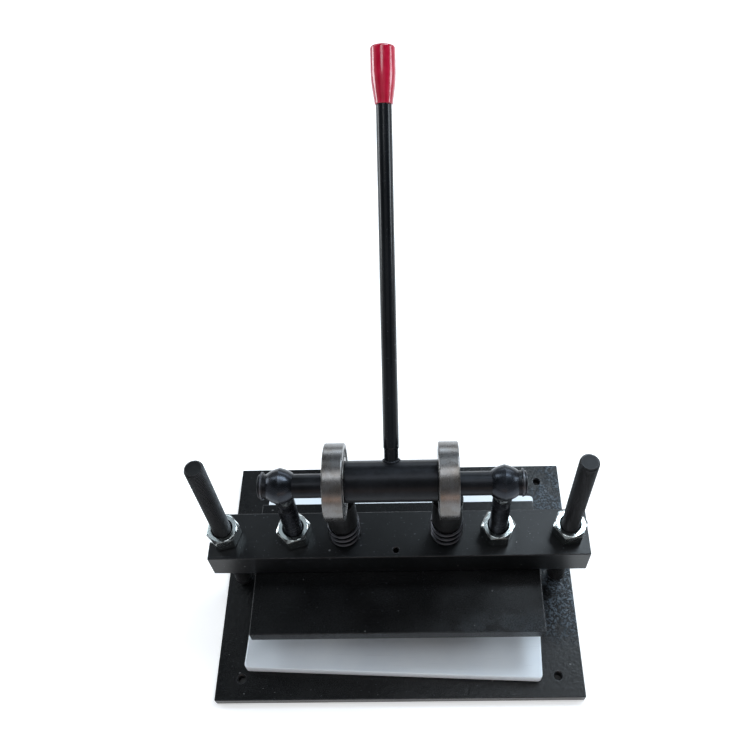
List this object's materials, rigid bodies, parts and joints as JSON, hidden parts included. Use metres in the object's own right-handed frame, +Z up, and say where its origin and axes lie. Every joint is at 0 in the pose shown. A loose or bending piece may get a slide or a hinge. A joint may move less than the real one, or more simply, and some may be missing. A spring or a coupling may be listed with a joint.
{
  "type": "hand-lever die-cutting press",
  "caption": "Tabletop hand press: a lever turns an eccentric shaft whose ball bearings push a spring-lifted platen down onto a white cutting board.",
  "frame": {"origin": "centre of the base plate's underside", "axes": "+Z up; +X to the operator's right, along the crossbeam; +Y away from the operator, towards the leaning lever"},
  "size_m": [0.3394, 0.384, 0.4216],
  "materials": {
    "base_paint": "black paint with a fine orange-peel texture",
    "beam_paint": "satin black paint over machined steel",
    "platen_paint": "worn satin black paint, brighter at the edges",
    "thread_oxide": "black oxide on threaded steel",
    "shaft_oxide": "oiled black oxide on turned steel",
    "lever_gloss": "gloss black paint",
    "red_plastic": "polished red plastic",
    "zinc_plate": "bright zinc plate",
    "bearing_steel": "ground bearing steel",
    "cage_steel": "pressed steel",
    "seal_rubber": "moulded black rubber",
    "spring_steel": "blackened spring steel",
    "white_plastic": "smooth white cutting-board plastic"
  },
  "bodies": {
    "base": {"base_plate": "base_paint", "column_left": "thread_oxide", "column_right": "thread_oxide"},
    "board": {"cutting_board": "white_plastic"},
    "beam": {"crossbeam": "beam_paint", "beam_top_nut_left": "zinc_plate", "beam_top_nut_right": "zinc_plate", "beam_under_nut_left": "zinc_plate", "beam_under_nut_right": "zinc_plate", "eye_bolt_left": "thread_oxide", "eye_bolt_right": "thread_oxide", "eye_bolt_nut_left": "zinc_plate", "eye_bolt_nut_right": "zinc_plate", "return_spring_left": "spring_steel", "return_spring_right": "spring_steel"},
    "platen": {"platen": "platen_paint", "guide_post_left": "thread_oxide", "guide_post_right": "thread_oxide"},
    "lever": {"eccentric_shaft": "shaft_oxide", "lever_rod": "lever_gloss", "lever_knob": "red_plastic", "retaining_ring_left": "zinc_plate", "retaining_ring_right": "zinc_plate", "bearing_left_inner_ring": "bearing_steel", "bearing_right_inner_ring": "bearing_steel"},
    "bearing_left": {"bearing_left_outer_ring": "bearing_steel", "bearing_left_inner_seal": "seal_rubber", "bearing_left_outer_seal": "seal_rubber"},
    "cage_left": {"bearing_left_cage": "cage_steel", "bearing_left_ball_1": "bearing_steel", "bearing_left_ball_2": "bearing_steel", "bearing_left_ball_3": "bearing_steel", "bearing_left_ball_4": "bearing_steel", "bearing_left_ball_5": "bearing_steel", "bearing_left_ball_6": "bearing_steel", "bearing_left_ball_7": "bearing_steel", "bearing_left_ball_8": "bearing_steel", "bearing_left_ball_9": "bearing_steel"},
    "bearing_right": {"bearing_right_outer_ring": "bearing_steel", "bearing_right_inner_seal": "seal_rubber", "bearing_right_outer_seal": "seal_rubber"},
    "cage_right": {"bearing_right_cage": "cage_steel", "bearing_right_ball_1": "bearing_steel", "bearing_right_ball_2": "bearing_steel", "bearing_right_ball_3": "bearing_steel", "bearing_right_ball_4": "bearing_steel", "bearing_right_ball_5": "bearing_steel", "bearing_right_ball_6": "bearing_steel", "bearing_right_ball_7": "bearing_steel", "bearing_right_ball_8": "bearing_steel", "bearing_right_ball_9": "bearing_steel"}
  },
  "joints": [
    {"name": "board_slide", "type": "slide", "parent": "base", "child": "board", "axis": [-0.0454, -0.999, 0], "range_m": [0, 0.1]},
    {"name": "beam_height", "type": "slide", "parent": "base", "child": "beam", "axis": [0, 0, 1], "range_m": [-0.022, 0.085]},
    {"name": "lever_pivot", "type": "hinge", "parent": "beam", "child": "lever", "pos_m": [0, 0, 0.193], "axis": [1, 0, 0], "range_deg": [0, 130]},
    {"name": "platen_slide", "type": "slide", "parent": "beam", "child": "platen", "axis": [0, 0, -1], "range_m": [0, 0.00987], "stiffness_N_per_m": 33000, "springref_m": -0.0018, "deforming": ["return_spring_left", "return_spring_right"]},
    {"name": "bearing_left_spin", "type": "hinge", "parent": "lever", "child": "bearing_left", "pos_m": [-0.0452, 0, 0.199], "axis": [1, 0, 0], "continuous": true},
    {"name": "cage_left_spin", "type": "hinge", "parent": "lever", "child": "cage_left", "pos_m": [-0.0452, 0, 0.199], "axis": [1, 0, 0], "continuous": true},
    {"name": "bearing_right_spin", "type": "hinge", "parent": "lever", "child": "bearing_right", "pos_m": [0.0452, 0, 0.199], "axis": [1, 0, 0], "continuous": true},
    {"name": "cage_right_spin", "type": "hinge", "parent": "lever", "child": "cage_right", "pos_m": [0.0452, 0, 0.199], "axis": [1, 0, 0], "continuous": true}
  ],
  "couplings": [
    {"joint": "platen_slide", "follows": "lever_pivot", "m_per_rad": 0.004344},
    {"joint": "cage_left_spin", "follows": "bearing_left_spin", "ratio": 0.6035},
    {"joint": "cage_right_spin", "follows": "bearing_right_spin", "ratio": 0.6035}
  ]
}
